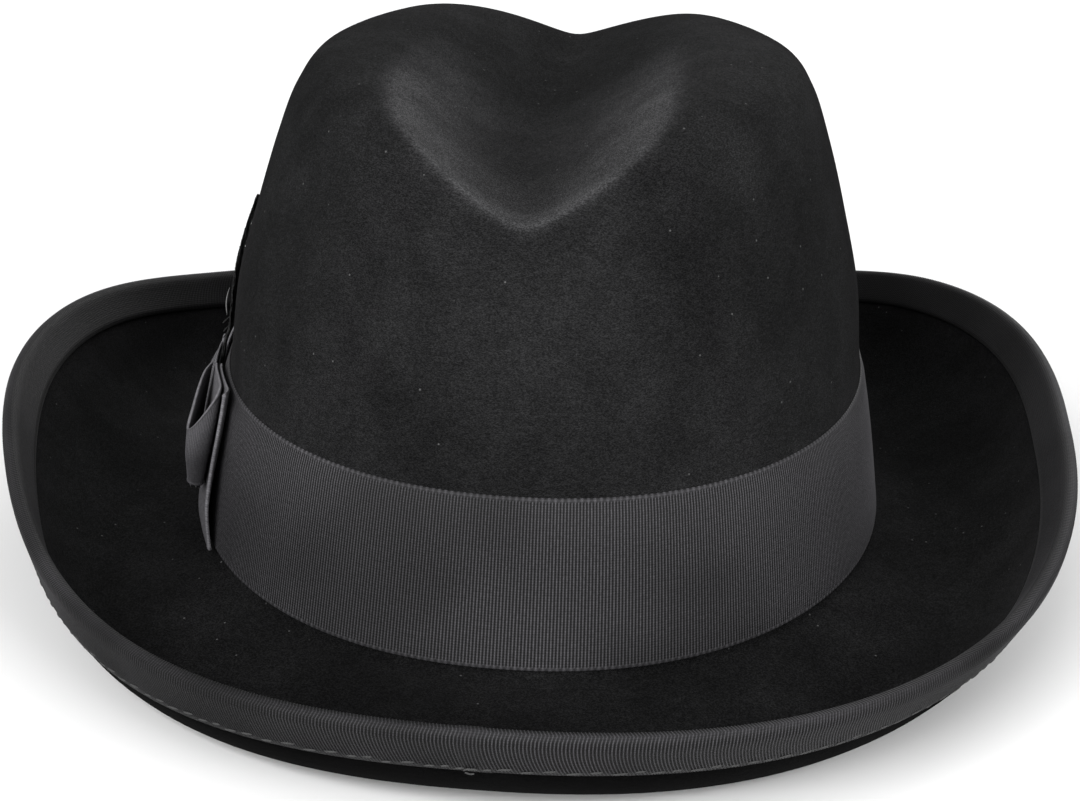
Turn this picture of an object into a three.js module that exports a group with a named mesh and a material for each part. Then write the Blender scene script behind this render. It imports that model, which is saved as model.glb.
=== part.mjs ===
// A homburg hat: a stiff felt crown with one long crease, a curled brim of the same felt,
// a ribbon round the crown with a flat bow on its left side, a ribbon bound over the brim's
// edge, and a small feather tucked behind the bow.
// Millimetres, +Z up. The back of the hat faces -Y, its left side faces -X, and it stands
// on z = 0 on the lowest stretches of its brim.

import * as THREE from 'three';

// Driving dimensions, in millimetres.
const HEAD_WIDTH = 172;
const HEAD_LENGTH = 212;
const CROWN_HEIGHT = 122;
const BRIM_WIDTH = 67.5;
const FELT_WALL = 2;
const SIDE_LIFT = 4.9;
const BACK_DROP = 1.2;
const BREAK_RADIUS = 1.5;
const REST_FLAT = 1;

const RIBBON_THICKNESS = 0.9;
const BAND_WIDTH = 38;
const BAND_FOOT = 1.5;
const BINDING_WIDTH = 9;
const BINDING_THICKNESS = 0.7;
const GAP = 0.3;

const BOW_BACK_OFFSET = 18;
const KNOT_WIDTH = 14;
const KNOT_DEPTH = 5.2;
const KNOT_OVERHANG = 0.4;
const LOOP_LENGTH = 22;
const LOOP_PUFF = 4.8;
const LOOP_DROOP = 13;
const TAIL_LENGTH = 35;
const TAIL_FLARE = 2.2;

const FEATHER_LENGTH = 54;
const FEATHER_WIDTH = 15;
const FEATHER_THICKNESS = 1.1;
const FEATHER_TUCK = 15;
const FEATHER_LEAN_DEG = 18;
const FEATHER_SETTLE = 6;

// Facets: segments round the hat, and steps along each stretch of a section.
const SEGMENTS = 60;
const STEPS_PER_CROWN_ROW = 2;
const FLAT_STEPS = 4;
const CURL_STEPS = 4;
const BAND_STEPS = 3;
const FOLD_TURN_DEG = 45;
const RIBBON_ACROSS_STEPS = 4;
const LOOP_STEPS = 20;
const TAIL_STEPS = 12;
const KNOT_STEPS = { along: 6, across: 10 };
const FEATHER_STEPS = { along: 18, across: 4 };

// How far the felt's edge rounds out, as a share of its wall, and how much thinner the knot is
// at its ends than in its middle.
const EDGE_ROUND = 0.3;
const KNOT_TAPER = 0.3;

// Sections of the crown, from its foot to its top. Rise is a share of the crown's height,
// side a share of half the head's width, back and front shares of half its length, and
// square is the power of the oval.
const CROWN_ROWS = [
  { rise: 0.0, side: 1.0, back: 1.0, front: 1.0, square: 2.2 },
  { rise: 0.16, side: 0.968, back: 0.951, front: 0.963, square: 2.2 },
  { rise: 0.33, side: 0.928, back: 0.91, front: 0.922, square: 2.2 },
  { rise: 0.5, side: 0.904, back: 0.87, front: 0.882, square: 2.2 },
  { rise: 0.66, side: 0.851, back: 0.829, front: 0.841, square: 2.2 },
  { rise: 0.8, side: 0.795, back: 0.784, front: 0.796, square: 2.2 },
  { rise: 0.905, side: 0.74, back: 0.734, front: 0.746, square: 2.2 },
  { rise: 0.965, side: 0.666, back: 0.656, front: 0.668, square: 2.2 },
  { rise: 0.995, side: 0.462, back: 0.483, front: 0.495, square: 2.15 },
  { rise: 1.004, side: 0.25, back: 0.261, front: 0.267, square: 2.05 },
  { rise: 1.007, side: 0.0, back: 0.0, front: 0.0, square: 2.0 },
];

// The crease along the top, from the back of the crown to its front, in equal steps of its
// length. Floor is the height of its bottom as a share of the crown's height, shift moves it
// sideways as a share of the head's width, and soft rounds its lip as a share of the height.
const CREASE_ROWS = [
  { floor: 0.786, shift: 0.018, soft: 0.026 },
  { floor: 0.813, shift: -0.017, soft: 0.053 },
  { floor: 0.832, shift: -0.018, soft: 0.086 },
  { floor: 0.867, shift: -0.01, soft: 0.104 },
  { floor: 0.912, shift: 0.0, soft: 0.107 },
];
const CREASE_HALF_WIDTH = 40;
const CREASE_RISE = 26.8;
const CREASE_POWER = 1.17;
const CREASE_ROUND = 0.06;

// Sections of the brim in equal turns from the back by way of the right side. Width is a
// share of the brim's width, set and curl are the angles at which a section leaves the crown
// and ends, flat and lip are the straight shares of the section before and after its curl.
const BRIM_ROWS = [
  { width: 1.053, set: 0.0, curl: 64.7, flat: 0.602, lip: 0.155 },
  { width: 0.927, set: -11.4, curl: 60.1, flat: 0.399, lip: 0.176 },
  { width: 0.854, set: -13.7, curl: 56.6, flat: 0.095, lip: 0.275 },
  { width: 1.016, set: -15.8, curl: 57.5, flat: 0.099, lip: 0.238 },
  { width: 1.026, set: -7.5, curl: 55.3, flat: 0.699, lip: 0.169 },
  { width: 1.02, set: -10.8, curl: 71.0, flat: 0.5, lip: 0.235 },
  { width: 0.917, set: -10.1, curl: 51.4, flat: 0.05, lip: 0.323 },
  { width: 0.867, set: -10.7, curl: 74.0, flat: 0.469, lip: 0.141 },
];

// One loop of the bow seen from above, from the knot along the band and back again. Along is
// a share of the loop's length, layer counts ribbon layers, puff is a share of the puff, and
// droop a share of how far the outer layer's upper edge sinks where the loop turns.
const LOOP_ROWS = [
  { along: 0.0, layer: 0, puff: 0.0, droop: 0.0 },
  { along: 0.35, layer: 0, puff: 0.0, droop: 0.0 },
  { along: 0.7, layer: 0, puff: 0.0, droop: 0.0 },
  { along: 0.95, layer: 0, puff: 0.08, droop: 0.1 },
  { along: 1.0, layer: 0.5, puff: 0.55, droop: 0.6 },
  { along: 0.93, layer: 1, puff: 1.0, droop: 1.0 },
  { along: 0.7, layer: 1, puff: 0.76, droop: 0.56 },
  { along: 0.35, layer: 1, puff: 0.38, droop: 0.14 },
  { along: 0.0, layer: 1, puff: 0.0, droop: 0.0 },
];
const DROOP_POWER = 1.5;

// How the bow changes from its lower edge to its upper edge, as shares: the loops' length and
// puff, and the length and flare of the tail that lies under the back loop.
const LOOP_HEIGHT_ROWS = [
  { length: 0.9, puff: 0.05, tail: 1.0, flare: 0.3 },
  { length: 0.95, puff: 0.15, tail: 0.92, flare: 1.0 },
  { length: 1.0, puff: 0.55, tail: 0.83, flare: 0.9 },
  { length: 1.0, puff: 0.9, tail: 0.785, flare: 0.8 },
  { length: 0.95, puff: 1.0, tail: 0.735, flare: 0.7 },
];
const FLARE_POWER = 1.5;

// Half widths of the feather from its quill to its tip, as shares of half its width.
const FEATHER_ROWS = [
  { width: 0.16 },
  { width: 0.3 },
  { width: 0.85 },
  { width: 1.0 },
  { width: 0.92 },
  { width: 0.7 },
  { width: 0.12 },
];
// Its edges are notched into locks beyond its bare foot, and it is never thinner than its quill.
const FEATHER_LOCKS = 9;
const FEATHER_NOTCH = 0.16;
const FEATHER_BARE = 0.25;
const FEATHER_QUILL = 0.08;

const RAD = Math.PI / 180;
const LEFT_SIDE = 270 * RAD;
const HALVINGS = 40;
const LAST_WALL_ROW = 5;
const SMALL_STEP = 1e-3;

const mix = (a, b, share) => a + (b - a) * share;
const clamp01 = (value) => Math.min(Math.max(value, 0), 1);
const smoothStep = (value) => value * value * (3 - 2 * value);

// A smooth curve through four values, at a share of the way from the second to the third.
function curve(a, b, c, d, share) {
  const linear = c - a;
  const square = 2 * a - 5 * b + 4 * c - d;
  const cube = 3 * b - a - 3 * c + d;
  return 0.5 * (2 * b + share * (linear + share * (square + share * cube)));
}

// Reads a table at a place between its rows, every column on a smooth curve.
function readRows(rows, place, isLoop = false) {
  const last = rows.length - 1;
  const index = isLoop ? Math.floor(place) : Math.min(Math.max(Math.floor(place), 0), last - 1);
  const at = (k, column) => {
    if (isLoop) return rows[(k + 2 * rows.length) % rows.length][column];
    if (k < 0) return 2 * rows[0][column] - rows[1][column];
    if (k > last) return 2 * rows[last][column] - rows[last - 1][column];
    return rows[k][column];
  };
  const result = {};
  for (const column of Object.keys(rows[0])) {
    const four = [-1, 0, 1, 2].map((step) => at(index + step, column));
    result[column] = curve(...four, place - index);
  }
  return result;
}

// A point of an oval at an angle from the back towards the right side, and its outward
// direction in plan.
function oval(halfWidth, halfBack, halfFront, square, angle) {
  const s = Math.sin(angle);
  const c = Math.cos(angle);
  const reach = (Math.abs(s) ** square + Math.abs(c) ** square) ** (-1 / square);
  return { x: halfWidth * reach * s, y: -(c > 0 ? halfBack : halfFront) * reach * c };
}

function ovalOutward(halfWidth, halfLength, square, point) {
  const nx = (Math.sign(point.x) * Math.abs(point.x / halfWidth) ** (square - 1)) / halfWidth;
  const ny = (Math.sign(point.y) * Math.abs(point.y / halfLength) ** (square - 1)) / halfLength;
  const length = Math.hypot(nx, ny);
  return { x: nx / length, y: ny / length };
}

// The foot of the crown isn't level: it lifts at the sides and drops towards the back.
function footHeight(angle, y) {
  return SIDE_LIFT * Math.sin(angle) ** 2 + (BACK_DROP * y) / (HEAD_LENGTH / 2);
}

// The smaller of two heights, rounded where they meet.
function softMinimum(a, b, soft) {
  const overlap = Math.max(soft - Math.abs(a - b), 0) / soft;
  return Math.min(a, b) - (overlap * overlap * soft) / 4;
}

// The height of the gutter that the crease presses into the top of the crown.
function creaseHeight(x, y) {
  const place = (y / (HEAD_LENGTH / 2) + 1) * ((CREASE_ROWS.length - 1) / 2);
  const row = readRows(CREASE_ROWS, Math.min(Math.max(place, 0), CREASE_ROWS.length - 1));
  const across = (x - row.shift * HEAD_WIDTH) / CREASE_HALF_WIDTH;
  const rounded = Math.hypot(across, CREASE_ROUND) - CREASE_ROUND;
  return {
    z: row.floor * CROWN_HEIGHT + CREASE_RISE * rounded ** CREASE_POWER,
    soft: row.soft * CROWN_HEIGHT,
  };
}

// A point on the outside of the crown: row counts the crown's sections up from its foot.
function crownPoint(row, angle) {
  const section = readRows(CROWN_ROWS, row);
  const halfLength = HEAD_LENGTH / 2;
  const { x, y } = oval(
    Math.max(section.side, 0) * (HEAD_WIDTH / 2),
    Math.max(section.back, 0) * halfLength,
    Math.max(section.front, 0) * halfLength,
    section.square,
    angle,
  );
  const domeZ = section.rise * CROWN_HEIGHT;
  const crease = creaseHeight(x, y);
  const z = softMinimum(domeZ, crease.z, crease.soft);
  const foot = footHeight(angle, y) * (1 - clamp01(section.rise));
  const tilt = (BACK_DROP * y * clamp01(section.rise)) / halfLength;
  return new THREE.Vector3(x, y, z + foot + tilt);
}

function crownNormal(row, angle) {
  const up = crownPoint(row + SMALL_STEP, angle).sub(crownPoint(row - SMALL_STEP, angle));
  const round = crownPoint(row, angle + SMALL_STEP).sub(crownPoint(row, angle - SMALL_STEP));
  return round.cross(up).normalize();
}

// The crown's row at a height above its foot.
function rowAtHeight(height) {
  let low = 0;
  let high = LAST_WALL_ROW;
  for (let k = 0; k < HALVINGS; k += 1) {
    const middle = (low + high) / 2;
    if (readRows(CROWN_ROWS, middle).rise * CROWN_HEIGHT < height) low = middle;
    else high = middle;
  }
  return (low + high) / 2;
}

// One section of the brim: where it stands, and the place of a point at a run along it and an
// offset above its upper face.
function brimSection(angle) {
  const row = readRows(BRIM_ROWS, (angle / (2 * Math.PI)) * BRIM_ROWS.length, true);
  const foot = CROWN_ROWS[0];
  const halfWidth = HEAD_WIDTH / 2;
  const halfLength = HEAD_LENGTH / 2;
  const base = oval(halfWidth, halfLength, halfLength, foot.square, angle);
  const outward = ovalOutward(halfWidth, halfLength, foot.square, base);
  const width = row.width * BRIM_WIDTH;
  const flat = row.flat * width;
  const curl = (1 - row.flat - row.lip) * width;
  const start = row.set * RAD;
  const end = row.curl * RAD;
  const radius = curl / (end - start);
  const pointAt = (run, offset) => {
    const onFlat = Math.min(run, flat);
    const onCurl = Math.min(Math.max(run - flat, 0), curl);
    const onLip = Math.max(run - flat - curl, 0);
    const slope = start + onCurl / radius;
    const curlOut = radius * (Math.sin(slope) - Math.sin(start));
    const curlUp = radius * (Math.cos(start) - Math.cos(slope));
    const out = onFlat * Math.cos(start) + curlOut + onLip * Math.cos(end);
    const up = onFlat * Math.sin(start) + curlUp + onLip * Math.sin(end);
    const reach = out - offset * Math.sin(slope);
    const x = base.x + outward.x * reach;
    const y = base.y + outward.y * reach;
    return new THREE.Vector3(x, y, up + offset * Math.cos(slope) + footHeight(angle, y));
  };
  return { width, flat, curl, pointAt };
}

// Builds one closed mesh from rings of points. Every ring has as many points as the next. A
// ring of one point is a pole; a closed row of rings meets itself.
function meshFromRings(name, rings, ringsClose, material) {
  const positions = [];
  const starts = [];
  for (const ring of rings) {
    starts.push(positions.length / 3);
    for (const point of ring) positions.push(point.x, point.y, point.z);
  }
  const triangles = [];
  const pairs = ringsClose ? rings.length : rings.length - 1;
  for (let k = 0; k < pairs; k += 1) {
    const next = (k + 1) % rings.length;
    const count = Math.max(rings[k].length, rings[next].length);
    for (let j = 0; j < count; j += 1) {
      const a = starts[k] + (j % rings[k].length);
      const b = starts[k] + ((j + 1) % rings[k].length);
      const c = starts[next] + (j % rings[next].length);
      const d = starts[next] + ((j + 1) % rings[next].length);
      if (a !== b) triangles.push([a, b, d]);
      if (c !== d) triangles.push([a, d, c]);
    }
  }
  return meshFromTriangles(name, positions, triangles, material);
}

// Turns a mesh's triangles outward where they face in, and makes the named mesh.
function meshFromTriangles(name, positions, triangles, material) {
  const corner = (k) => new THREE.Vector3().fromArray(positions, 3 * k);
  let volume = 0;
  for (const [a, b, c] of triangles) volume += corner(a).dot(corner(b).cross(corner(c)));
  const outward = volume > 0 ? triangles : triangles.map(([a, b, c]) => [a, c, b]);
  const geometry = new THREE.BufferGeometry();
  geometry.setAttribute('position', new THREE.Float32BufferAttribute(positions, 3));
  geometry.setIndex(outward.flat());
  geometry.computeVertexNormals();
  const mesh = new THREE.Mesh(geometry, material);
  mesh.name = name;
  return mesh;
}

const angles = Array.from({ length: SEGMENTS }, (_, k) => (k / SEGMENTS) * 2 * Math.PI);
const sections = angles.map(brimSection);

// The felt: crown and brim are one piece, hollow from below.
function feltRings() {
  const outer = [];
  const inner = [];
  const topRow = CROWN_ROWS.length - 1;
  const footRow = rowAtHeight(BREAK_RADIUS);
  const crownRows = [];
  for (let row = topRow - 1 / STEPS_PER_CROWN_ROW; row > footRow; row -= 1 / STEPS_PER_CROWN_ROW) {
    crownRows.push(row);
  }
  crownRows.push(footRow);
  for (const row of crownRows) {
    const ring = angles.map((angle) => crownPoint(row, angle));
    outer.push(ring);
    inner.push(
      ring.map((point, k) => point.clone().addScaledVector(crownNormal(row, angles[k]), -FELT_WALL)),
    );
  }
  const runs = (section) => {
    const list = [];
    for (let k = 0; k <= FLAT_STEPS; k += 1) {
      list.push(mix(BREAK_RADIUS, section.flat, k / FLAT_STEPS));
    }
    for (let k = 1; k <= CURL_STEPS; k += 1) {
      list.push(section.flat + (section.curl * k) / CURL_STEPS);
    }
    list.push(section.width - BINDING_WIDTH - GAP, section.width);
    return list;
  };
  const runCount = runs(sections[0]).length;
  for (let k = 0; k < runCount; k += 1) {
    outer.push(sections.map((section) => section.pointAt(runs(section)[k], 0)));
    inner.push(sections.map((section) => section.pointAt(runs(section)[k], -FELT_WALL)));
  }
  const noseRun = EDGE_ROUND * FELT_WALL;
  const nose = sections.map((section) => section.pointAt(section.width + noseRun, -FELT_WALL / 2));
  const pole = crownPoint(topRow, 0);
  const innerPole = pole.clone().setZ(pole.z - FELT_WALL);
  return { rings: [[pole], ...outer, nose, ...inner.reverse(), [innerPole]], inner };
}

function makeFelt(material) {
  const { rings, inner } = feltRings();
  const lowest = Math.min(...inner.flat().map((point) => point.z));
  for (const ring of inner) {
    for (const point of ring) point.z = Math.max(point.z, lowest + REST_FLAT);
  }
  return meshFromRings('felt_body', rings, false, material);
}

// The ribbon that is folded over the brim's edge, with a U-shaped section.
function makeBinding(material) {
  const middle = -FELT_WALL / 2;
  const profile = (offset) => {
    const radius = FELT_WALL / 2 + offset;
    const points = [[-BINDING_WIDTH, middle + radius]];
    for (let turn = 90; turn >= -90; turn -= FOLD_TURN_DEG) {
      points.push([radius * Math.cos(turn * RAD), middle + radius * Math.sin(turn * RAD)]);
    }
    points.push([-BINDING_WIDTH, middle - radius]);
    return points;
  };
  const inside = profile(GAP);
  const outside = profile(GAP + BINDING_THICKNESS);
  const rings = [...inside, ...outside.reverse()].map(([run, offset]) =>
    sections.map((section) => section.pointAt(section.width + run, offset)),
  );
  return meshFromRings('brim_binding', rings, true, material);
}

// A point off the crown's wall, at a height above the band's lower edge.
function bandPoint(height, angle, out) {
  const row = rowAtHeight(BAND_FOOT + height);
  return crownPoint(row, angle).addScaledVector(crownNormal(row, angle), out);
}

// The ribbon round the foot of the crown.
function makeBand(material) {
  const rings = [];
  for (let k = 0; k <= BAND_STEPS; k += 1) {
    rings.push(angles.map((angle) => bandPoint((BAND_WIDTH * k) / BAND_STEPS, angle, GAP)));
  }
  for (let k = BAND_STEPS; k >= 0; k -= 1) {
    const out = GAP + RIBBON_THICKNESS;
    rings.push(angles.map((angle) => bandPoint((BAND_WIDTH * k) / BAND_STEPS, angle, out)));
  }
  return meshFromRings('hat_band', rings, true, material);
}

// A point by the bow: along runs from the knot's middle towards the back of the hat, height
// from the band's lower edge, and out from the band's outer face.
function bowPoint(along, height, out) {
  const y = -BOW_BACK_OFFSET - along;
  let low = LEFT_SIDE - Math.PI / 2;
  let high = LEFT_SIDE + Math.PI / 2;
  const row = rowAtHeight(BAND_FOOT + height);
  for (let k = 0; k < HALVINGS; k += 1) {
    const middle = (low + high) / 2;
    if (crownPoint(row, middle).y > y) low = middle;
    else high = middle;
  }
  const angle = (low + high) / 2;
  const lift = GAP + RIBBON_THICKNESS + out;
  return crownPoint(row, angle).addScaledVector(crownNormal(row, angle), lift);
}

// A closed sheet between two faces. Each face gives a point for a step along the sheet and a
// share across it.
function makeSheet(name, alongSteps, acrossSteps, innerFace, outerFace, material) {
  const rings = [];
  for (let i = 0; i <= alongSteps; i += 1) {
    const ring = [];
    for (let j = 0; j <= acrossSteps; j += 1) ring.push(outerFace(i / alongSteps, j / acrossSteps));
    for (let j = acrossSteps; j >= 0; j -= 1) ring.push(innerFace(i / alongSteps, j / acrossSteps));
    rings.push(ring);
  }
  const positions = rings.flat().flatMap((point) => [point.x, point.y, point.z]);
  const count = rings[0].length;
  const triangles = [];
  for (let i = 0; i < alongSteps; i += 1) {
    for (let j = 0; j < count; j += 1) {
      const a = i * count + j;
      const b = i * count + ((j + 1) % count);
      triangles.push([a, b, b + count], [a, b + count, a + count]);
    }
  }
  const lastRing = alongSteps * count;
  for (let j = 0; j < acrossSteps; j += 1) {
    const [a, b, c, d] = [j, j + 1, count - 2 - j, count - 1 - j];
    triangles.push([a, c, b], [a, d, c]);
    triangles.push([lastRing + a, lastRing + b, lastRing + c]);
    triangles.push([lastRing + a, lastRing + c, lastRing + d]);
  }
  return meshFromTriangles(name, positions, triangles, material);
}

// A ribbon that follows a path seen from above. The path gives along, out and how far it sinks
// for a share of its run and a share of the ribbon's height.
function makeRibbon(name, alongSteps, path, material) {
  const face = (side) => (share, heightShare) => {
    const before = path(share - SMALL_STEP, heightShare);
    const after = path(share + SMALL_STEP, heightShare);
    const here = path(share, heightShare);
    const run = Math.hypot(after.along - before.along, after.out - before.out);
    const across = (side * RIBBON_THICKNESS) / 2 / run;
    const along = here.along - (after.out - before.out) * across;
    const out = here.out + (after.along - before.along) * across;
    return bowPoint(along, heightShare * BAND_WIDTH - here.sunk, out);
  };
  return makeSheet(name, alongSteps, RIBBON_ACROSS_STEPS, face(-1), face(1), material);
}

const LAYER = RIBBON_THICKNESS + GAP;
const LOOP_START = KNOT_WIDTH / 2 + GAP;
const heightRow = (share) => readRows(LOOP_HEIGHT_ROWS, share * (LOOP_HEIGHT_ROWS.length - 1));

// A loop of the bow: side is 1 towards the back of the hat and -1 towards its front.
function makeLoop(name, side, length, puff, firstLayer, material) {
  const path = (share, heightShare) => {
    const row = readRows(LOOP_ROWS, share * (LOOP_ROWS.length - 1));
    const height = heightRow(heightShare);
    const along = LOOP_START + row.along * length * height.length;
    const layers = firstLayer + row.layer;
    const out = GAP + RIBBON_THICKNESS / 2 + layers * LAYER + row.puff * puff * height.puff;
    const sunk = LOOP_DROOP * row.droop * heightShare ** DROOP_POWER;
    return { along: side * along, out, sunk };
  };
  return makeRibbon(name, LOOP_STEPS, path, material);
}

// The ribbon's cut end: it lies under the back loop and stands off beyond it.
function makeTail(material) {
  const path = (share, heightShare) => {
    const height = heightRow(heightShare);
    const end = TAIL_LENGTH * height.tail;
    const free = LOOP_LENGTH * height.length + RIBBON_THICKNESS;
    const run = share * end;
    const beyond = clamp01((run - free) / Math.max(end - free, RIBBON_THICKNESS));
    const flare = TAIL_FLARE * height.flare * beyond ** FLARE_POWER;
    return { along: LOOP_START + run, out: GAP + RIBBON_THICKNESS / 2 + flare, sunk: 0 };
  };
  return makeRibbon('bow_tail', TAIL_STEPS, path, material);
}

// The knot: a ribbon wrapped over the middle of the bow. Its upper half stands clear of the
// band, where the feather's quill is tucked in.
const QUILL_ROOM = FEATHER_THICKNESS + 2 * GAP;

function makeKnot(material) {
  const height = (share) => mix(-KNOT_OVERHANG, BAND_WIDTH + KNOT_OVERHANG, share);
  const along = (share) => mix(-KNOT_WIDTH / 2, KNOT_WIDTH / 2, share);
  const innerFace = (share, heightShare) => {
    const clearFrom = BAND_WIDTH - FEATHER_TUCK - 2 * QUILL_ROOM;
    const clear = smoothStep(clamp01((height(heightShare) - clearFrom) / QUILL_ROOM));
    return bowPoint(along(share), height(heightShare), GAP + QUILL_ROOM * clear);
  };
  const outerFace = (share, heightShare) => {
    const acrossBulge = 1 - KNOT_TAPER * (2 * share - 1) ** 4;
    const heightBulge = 1 - KNOT_TAPER * (2 * heightShare - 1) ** 4;
    return bowPoint(along(share), height(heightShare), KNOT_DEPTH * acrossBulge * heightBulge);
  };
  return makeSheet('bow_knot', KNOT_STEPS.along, KNOT_STEPS.across, innerFace, outerFace, material);
}

// The feather: a flat vane along its quill, whose edges are notched into locks. It is tucked
// behind the knot, leans towards the front of the hat and settles on the felt above the band.
function makeFeather(material) {
  const lean = FEATHER_LEAN_DEG * RAD;
  const face = (out) => (share, acrossShare) => {
    const row = readRows(FEATHER_ROWS, share * (FEATHER_ROWS.length - 1));
    const run = share * FEATHER_LENGTH;
    const lockPlace = (share * FEATHER_LOCKS) % 1;
    const notch = share < FEATHER_BARE ? 0 : FEATHER_NOTCH * (1 - lockPlace);
    const half = (FEATHER_WIDTH / 2) * Math.max(row.width - notch, FEATHER_QUILL);
    const aside = mix(-half, half, acrossShare);
    const along = -(run * Math.sin(lean) * share) + aside * Math.cos(lean);
    const height = BAND_WIDTH - FEATHER_TUCK + run * Math.cos(lean * share) + aside * Math.sin(lean);
    const settled = smoothStep(clamp01((height - BAND_WIDTH) / FEATHER_SETTLE));
    return bowPoint(along, height, out - RIBBON_THICKNESS * settled);
  };
  const { along, across } = FEATHER_STEPS;
  return makeSheet('feather', along, across, face(GAP), face(GAP + FEATHER_THICKNESS), material);
}

const feltMaterial = new THREE.MeshStandardMaterial({ color: 0x151515, roughness: 0.95, metalness: 0 });
const ribbonMaterial = new THREE.MeshStandardMaterial({ color: 0x2b2c2e, roughness: 0.8, metalness: 0 });
const featherMaterial = new THREE.MeshStandardMaterial({ color: 0x0b0b0c, roughness: 0.7, metalness: 0 });

const hat = new THREE.Group();
hat.add(
  makeFelt(feltMaterial),
  makeBand(ribbonMaterial.clone()),
  makeBinding(ribbonMaterial.clone()),
  makeTail(ribbonMaterial.clone()),
  makeLoop('bow_back_loop', 1, LOOP_LENGTH, LOOP_PUFF, 1, ribbonMaterial.clone()),
  makeLoop('bow_front_loop', -1, LOOP_LENGTH, LOOP_PUFF, 0, ribbonMaterial.clone()),
  makeKnot(ribbonMaterial.clone()),
  makeFeather(featherMaterial),
);

// The origin is on the surface that the hat rests on, under its middle.
const box = new THREE.Box3().setFromObject(hat);
const middle = box.getCenter(new THREE.Vector3());
hat.position.set(-middle.x, -middle.y, -box.min.z);

export default hat;
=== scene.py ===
"""A homburg hat in black felt, with a ribbed ribbon band, a bound brim, a flat bow and a feather.

Lengths are in millimetres until a mesh is made, and the hat's shape is worked out in its own frame:
z = 0 at the foot of the crown, the back of the hat towards -Y and its left side towards -X.
"""

import math

import bpy
import numpy as np
from mathutils import Matrix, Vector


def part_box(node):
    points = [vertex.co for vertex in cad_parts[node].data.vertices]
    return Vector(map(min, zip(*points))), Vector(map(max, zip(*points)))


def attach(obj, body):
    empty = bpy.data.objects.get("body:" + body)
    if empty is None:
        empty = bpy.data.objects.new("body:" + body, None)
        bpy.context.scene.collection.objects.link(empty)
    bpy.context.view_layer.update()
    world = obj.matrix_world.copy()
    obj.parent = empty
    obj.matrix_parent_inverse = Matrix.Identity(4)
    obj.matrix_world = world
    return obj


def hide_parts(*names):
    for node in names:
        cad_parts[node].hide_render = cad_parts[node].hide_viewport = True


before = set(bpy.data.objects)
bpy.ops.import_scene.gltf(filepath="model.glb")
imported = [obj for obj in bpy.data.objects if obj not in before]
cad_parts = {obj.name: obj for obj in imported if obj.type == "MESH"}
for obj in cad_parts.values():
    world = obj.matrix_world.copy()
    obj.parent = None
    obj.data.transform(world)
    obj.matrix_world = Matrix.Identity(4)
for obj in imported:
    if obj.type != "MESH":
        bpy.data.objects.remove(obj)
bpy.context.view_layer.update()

MM = 0.001

# The hat's driving sizes. The bow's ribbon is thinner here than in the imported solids, its knot and
# front loop are flatter, the lower ends of its loops are gathered up, and its knot ends lower.
HEAD_WIDTH = 172.0
HEAD_LENGTH = 212.0
CROWN_HEIGHT = 122.0
BRIM_WIDTH = 67.5
FELT_WALL = 2.0
SIDE_LIFT = 4.9
BACK_DROP = 1.2
BREAK_RADIUS = 1.5

RIBBON_THICKNESS = 0.9
BAND_WIDTH = 38.0
BAND_FOOT = 1.5
BINDING_WIDTH = 9.0
BINDING_THICKNESS = 0.7
GAP = 0.3

BOW_BACK_OFFSET = 18.0
BOW_SHEET = 0.62
BOW_PINCH = 2.5
KNOT_WIDTH = 14.0
KNOT_DEPTH = 4.6
KNOT_OVERHANG = 0.4
KNOT_TAPER = 0.3
KNOT_END_TAPER = 0.5
PLEAT_DEPTH = 0.45
LOOP_LENGTH = 22.0
LOOP_PUFF = 4.8
FRONT_PUFF = 2.0
LOOP_DROOP = 13.0
LOOP_GATHER = 10.0
LOOP_RIBBON = 56.0
TAIL_LENGTH = 35.0
TAIL_FLARE = 2.6
TAIL_RIBBON = 32.0
TAIL_HEM = 0.15
HEM_WIDTH = 1.6

FEATHER_LENGTH = 54.0
FEATHER_WIDTH = 15.0
FEATHER_THICKNESS = 1.1
FEATHER_TUCK = 15.0
FEATHER_LEAN = math.radians(18)
FEATHER_SETTLE = 6.0
FEATHER_LOCKS = 9
FEATHER_BARBS = 210

# The feather's curls: the share of its length where each stands, its reach and its lift.
FEATHER_CURLS = ((0.36, 5.0, 1.3), (0.4, 4.2, 1.8), (0.33, 5.6, 0.9))

# The weave of the ribbons: the pitch and depth of the ribs, the plain edge, its bead, and how far in
# from the bow's edges a painted highlight reaches and fades.
RIB_PITCH = 0.75
RIB_HEIGHT = 0.16
SELVAGE = 1.1
BAND_BEAD = 0.14
BOW_BEAD = 0.1
EDGE_HIGHLIGHT_REACH = 0.65
EDGE_HIGHLIGHT_FADE = 0.4

# How far below its upper edge the band starts to draw in to the felt, and what is left of its depth.
EDGE_RUN = 6.0
EDGE_SHARE = 0.42

# The binding: its doubled joint, the bend of its ribs, and the stitches near its lower edge.
JOINT_HALF = 4.0
JOINT_STEP = 0.12
JOINT_FADE = 1.2
RIB_FADE = 0.8
BULGE_PLACE = 2.5
LEAN_FOLD = 0.6
LEAN_OUTSIDE = 1.15
LEAN_RUN = 6.5
# The share of the ribs' paleness kept on the binding's inner face: painted shade on that face.
INNER_FACE_PAINTED_SHADE = 0.85
STITCH_LENGTH = 2.9
STITCH_GAP = 1.6
STITCH_ROW = 1.2
STITCH_ZIGZAG = 0.22
STITCH_RADIUS = 0.3
LOOSE_END_RADIUS = 0.2

# The loose ends: where each starts along the joint, its drop and its bend.
LOOSE_ENDS = ((-1.6, 0.3, 1.2), (-1.2, 0.9, -0.9), (-0.4, 0.1, 0.8))

# The felt's own rise and fall, and where it starts and how far it takes to grow: above the band,
# out from the crown, and in from the binding.
FELT_WAVER = 0.1
CROWN_CALM = (4.0, 20.0)
BRIM_CALM = (6.0, 12.0)
RIM_CALM = (3.0, 10.0)

# The crease's lip, which gets a painted highlight: its depth, its width on both sides, and its far end.
LIP_PLACE = 3.5
LIP_INSIDE = 13.0
LIP_OUTSIDE = 3.2
LIP_END = 25.0
LIP_FADE = 75.0

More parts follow.
